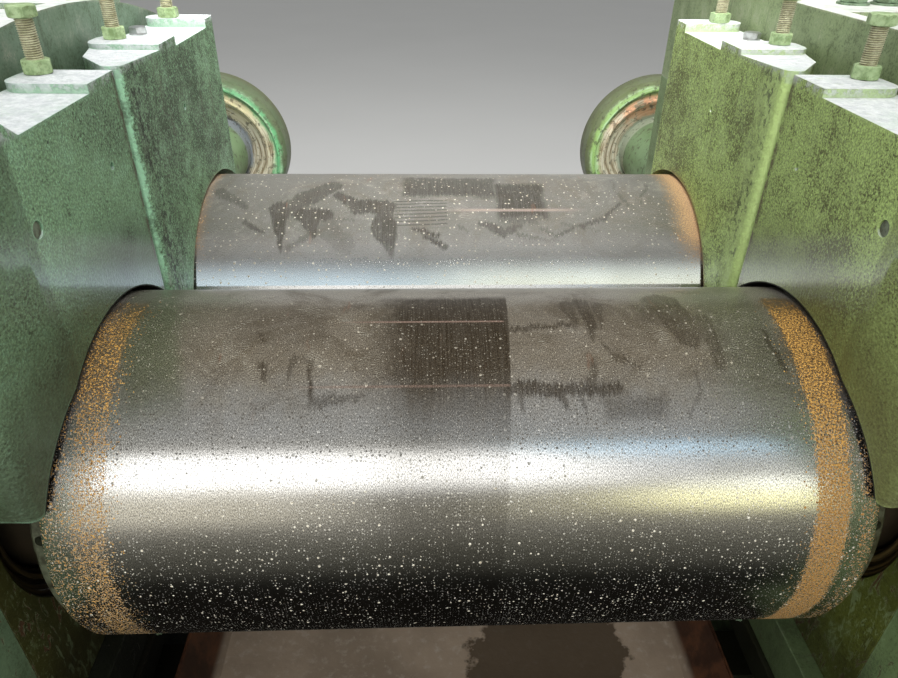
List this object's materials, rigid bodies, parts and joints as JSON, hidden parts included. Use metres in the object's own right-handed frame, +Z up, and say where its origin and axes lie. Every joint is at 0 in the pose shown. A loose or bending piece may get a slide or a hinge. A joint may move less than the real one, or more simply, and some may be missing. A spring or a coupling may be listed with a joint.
{
  "type": "two-roll open mill stand",
  "caption": "Two-roll open mixing mill stand: ground steel rolls side by side in green cast end frames, with stock guides shaped to the rolls, on a bedplate.",
  "frame": {"origin": "on the floor under the middle of the nip, on the bedplate's rest face", "axes": "+X along the rolls towards the drive side, +Y from the fixed roll to the adjustable roll, +Z up"},
  "size_m": [2.031, 1.961, 1.493],
  "materials": {
    "green_paint": "worn semi-gloss machine green with chips and dust",
    "guide_paint": "worn machine green with speckles and pale edges",
    "base_paint": "dark oily machine green",
    "ground_steel": "ground satin roll steel with smears and rusty ends",
    "screw_steel": "oiled turned steel",
    "screws": "pale green paint over hexagon screws and nuts",
    "greasy_iron": "brown oil film",
    "rusty_sheet": "rusty, oily sheet"
  },
  "bodies": {
    "stand": {"bedplate": "base_paint", "left_frame": "green_paint", "right_frame": "green_paint", "left_cap": "green_paint", "right_cap": "green_paint", "front_left_housing": "green_paint", "front_right_housing": "green_paint", "front_neck_seals": "greasy_iron", "front_left_cover": "green_paint", "front_left_guide": "guide_paint", "front_right_guide": "guide_paint", "rear_left_guide": "guide_paint", "rear_right_guide": "guide_paint", "left_guide_brackets": "base_paint", "right_guide_brackets": "base_paint", "front_left_jack_screw": "screws", "front_right_jack_screw": "screws", "rear_left_jack_screws": "screws", "rear_right_jack_screws": "screws", "left_adjuster": "green_paint", "right_adjuster": "green_paint", "gear_guard_lower": "green_paint", "gear_guard_upper": "green_paint", "front_tie_beam": "base_paint", "rear_tie_beam": "base_paint", "tray_rails": "base_paint", "drip_tray": "rusty_sheet"},
    "front_roll": {"front_roll": "ground_steel"},
    "rear_carriage": {"rear_left_housing": "green_paint", "rear_right_housing": "green_paint", "rear_neck_seals": "greasy_iron", "rear_left_cover": "green_paint", "nip_screws": "screw_steel"},
    "rear_roll": {"rear_roll": "ground_steel"}
  },
  "joints": [
    {"name": "front_roll_spin", "type": "hinge", "parent": "stand", "child": "front_roll", "pos_m": [0, -0.2275, 0.95], "axis": [1, 0, 0], "continuous": true},
    {"name": "nip_slide", "type": "slide", "parent": "stand", "child": "rear_carriage", "axis": [0, 1, 0], "range_m": [0, 0.01]},
    {"name": "rear_roll_spin", "type": "hinge", "parent": "rear_carriage", "child": "rear_roll", "pos_m": [0, 0.2275, 0.95], "axis": [1, 0, 0], "continuous": true}
  ],
  "couplings": [
    {"joint": "rear_roll_spin", "follows": "front_roll_spin", "ratio": -1.2}
  ]
}
